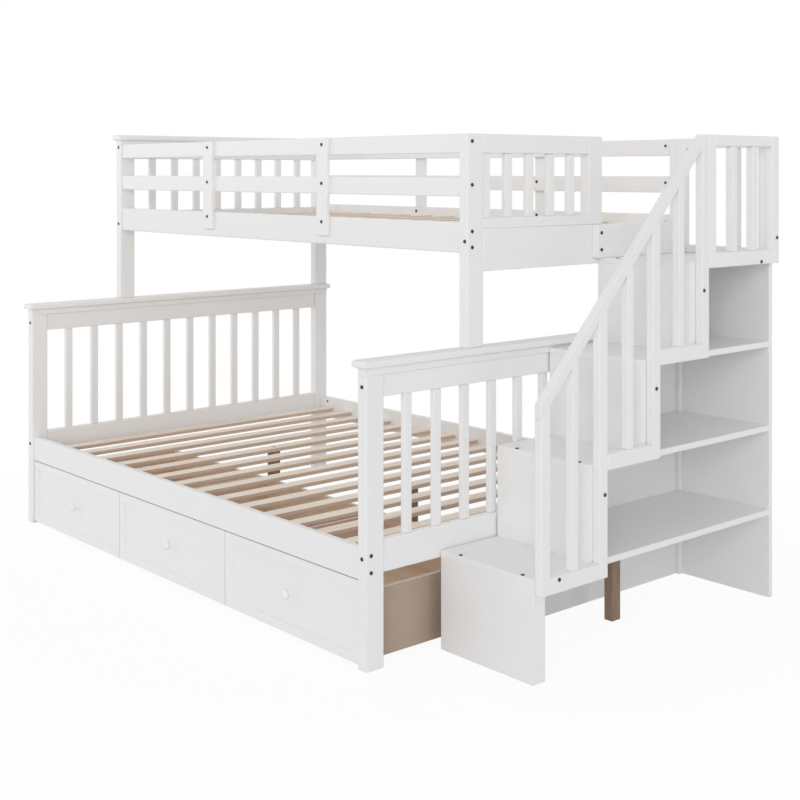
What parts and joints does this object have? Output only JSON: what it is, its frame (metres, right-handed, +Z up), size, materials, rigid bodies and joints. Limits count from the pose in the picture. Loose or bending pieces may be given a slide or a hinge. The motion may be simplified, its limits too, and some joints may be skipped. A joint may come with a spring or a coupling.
{
  "type": "bunk bed with stairs",
  "caption": "White twin over full bunk bed of bolted boards with slatted bases, box stairs with shelves and a guard rail at one end, and drawers on rollers under the front.",
  "frame": {"origin": "middle of the footprint, on the floor", "axes": "+X along the bed towards the stairs, +Y from the drawer side to the rear, +Z up"},
  "size_m": [2.386, 1.466, 1.49],
  "materials": {
    "white_paint": "satin white paint",
    "pine": "bare planed pine",
    "brown_board": "bare brown board",
    "black_bolts": "black oxide",
    "roller_plastic": "moulded"
  },
  "bodies": {
    "frame": {"bolts": "black_bolts", "centre_legs": "brown_board", "entry_guard_rails": "white_paint", "entry_guard_spindles": "white_paint", "entry_post": "white_paint", "front_guard_rails": "white_paint", "guard_uprights": "white_paint", "landing_top_rails": "white_paint", "lower_front_side_rail": "white_paint", "lower_left_cap": "white_paint", "lower_left_posts": "white_paint", "lower_left_rails": "white_paint", "lower_left_spindles": "white_paint", "lower_rear_side_rail": "white_paint", "lower_right_cap": "white_paint", "lower_right_posts": "white_paint", "lower_right_rails": "white_paint", "lower_right_spindles": "white_paint", "lower_slats": "pine", "rear_guard_rails": "white_paint", "slat_ledgers": "pine", "stair_balusters": "white_paint", "stair_corner_legs": "white_paint", "stair_foot_rails": "white_paint", "stair_guard_posts": "white_paint", "stair_handrail": "white_paint", "stair_inner_wall": "white_paint", "stair_rear_panel": "white_paint", "stair_risers": "white_paint", "stair_step_board": "white_paint", "stair_support_leg": "brown_board", "stair_treads": "white_paint", "upper_front_side_rail": "white_paint", "upper_left_cap": "white_paint", "upper_left_posts": "white_paint", "upper_left_rails": "white_paint", "upper_left_spindles": "white_paint", "upper_rear_side_rail": "white_paint", "upper_right_end_board": "white_paint", "upper_right_posts": "white_paint", "upper_slats": "pine"},
    "drawer_1": {"drawer_1_front": "white_paint", "drawer_1_box": "brown_board", "drawer_1_bottom": "brown_board", "drawer_1_knob": "white_paint"},
    "drawer_1_front_wheels": {"drawer_1_front_wheels": "roller_plastic"},
    "drawer_1_rear_wheels": {"drawer_1_rear_wheels": "roller_plastic"},
    "drawer_2": {"drawer_2_front": "white_paint", "drawer_2_box": "brown_board", "drawer_2_bottom": "brown_board", "drawer_2_knob": "white_paint"},
    "drawer_2_front_wheels": {"drawer_2_front_wheels": "roller_plastic"},
    "drawer_2_rear_wheels": {"drawer_2_rear_wheels": "roller_plastic"},
    "drawer_3": {"drawer_3_front": "white_paint", "drawer_3_box": "brown_board", "drawer_3_bottom": "brown_board", "drawer_3_knob": "white_paint"},
    "drawer_3_front_wheels": {"drawer_3_front_wheels": "roller_plastic"},
    "drawer_3_rear_wheels": {"drawer_3_rear_wheels": "roller_plastic"}
  },
  "joints": [
    {"name": "drawer_1_slide", "type": "slide", "parent": "frame", "child": "drawer_1", "axis": [0, -1, 0], "range_m": [0, 0.5]},
    {"name": "drawer_1_front_roll", "type": "hinge", "parent": "drawer_1", "child": "drawer_1_front_wheels", "pos_m": [-0.82267, -0.623, 0.0184], "axis": [1, 0, 0], "continuous": true},
    {"name": "drawer_1_rear_roll", "type": "hinge", "parent": "drawer_1", "child": "drawer_1_rear_wheels", "pos_m": [-0.82267, -0.163, 0.0184], "axis": [1, 0, 0], "continuous": true},
    {"name": "drawer_2_slide", "type": "slide", "parent": "frame", "child": "drawer_2", "axis": [0, -1, 0], "range_m": [0, 0.5]},
    {"name": "drawer_2_front_roll", "type": "hinge", "parent": "drawer_2", "child": "drawer_2_front_wheels", "pos_m": [-0.181, -0.623, 0.0184], "axis": [1, 0, 0], "continuous": true},
    {"name": "drawer_2_rear_roll", "type": "hinge", "parent": "drawer_2", "child": "drawer_2_rear_wheels", "pos_m": [-0.181, -0.163, 0.0184], "axis": [1, 0, 0], "continuous": true},
    {"name": "drawer_3_slide", "type": "slide", "parent": "frame", "child": "drawer_3", "axis": [0, -1, 0], "range_m": [0, 0.5]},
    {"name": "drawer_3_front_roll", "type": "hinge", "parent": "drawer_3", "child": "drawer_3_front_wheels", "pos_m": [0.46067, -0.623, 0.0184], "axis": [1, 0, 0], "continuous": true},
    {"name": "drawer_3_rear_roll", "type": "hinge", "parent": "drawer_3", "child": "drawer_3_rear_wheels", "pos_m": [0.46067, -0.163, 0.0184], "axis": [1, 0, 0], "continuous": true}
  ],
  "couplings": [
    {"joint": "drawer_1_front_roll", "follows": "drawer_1_slide", "rad_per_m": 55.556},
    {"joint": "drawer_1_rear_roll", "follows": "drawer_1_slide", "rad_per_m": 55.556},
    {"joint": "drawer_2_front_roll", "follows": "drawer_2_slide", "rad_per_m": 55.556},
    {"joint": "drawer_2_rear_roll", "follows": "drawer_2_slide", "rad_per_m": 55.556},
    {"joint": "drawer_3_front_roll", "follows": "drawer_3_slide", "rad_per_m": 55.556},
    {"joint": "drawer_3_rear_roll", "follows": "drawer_3_slide", "rad_per_m": 55.556}
  ]
}
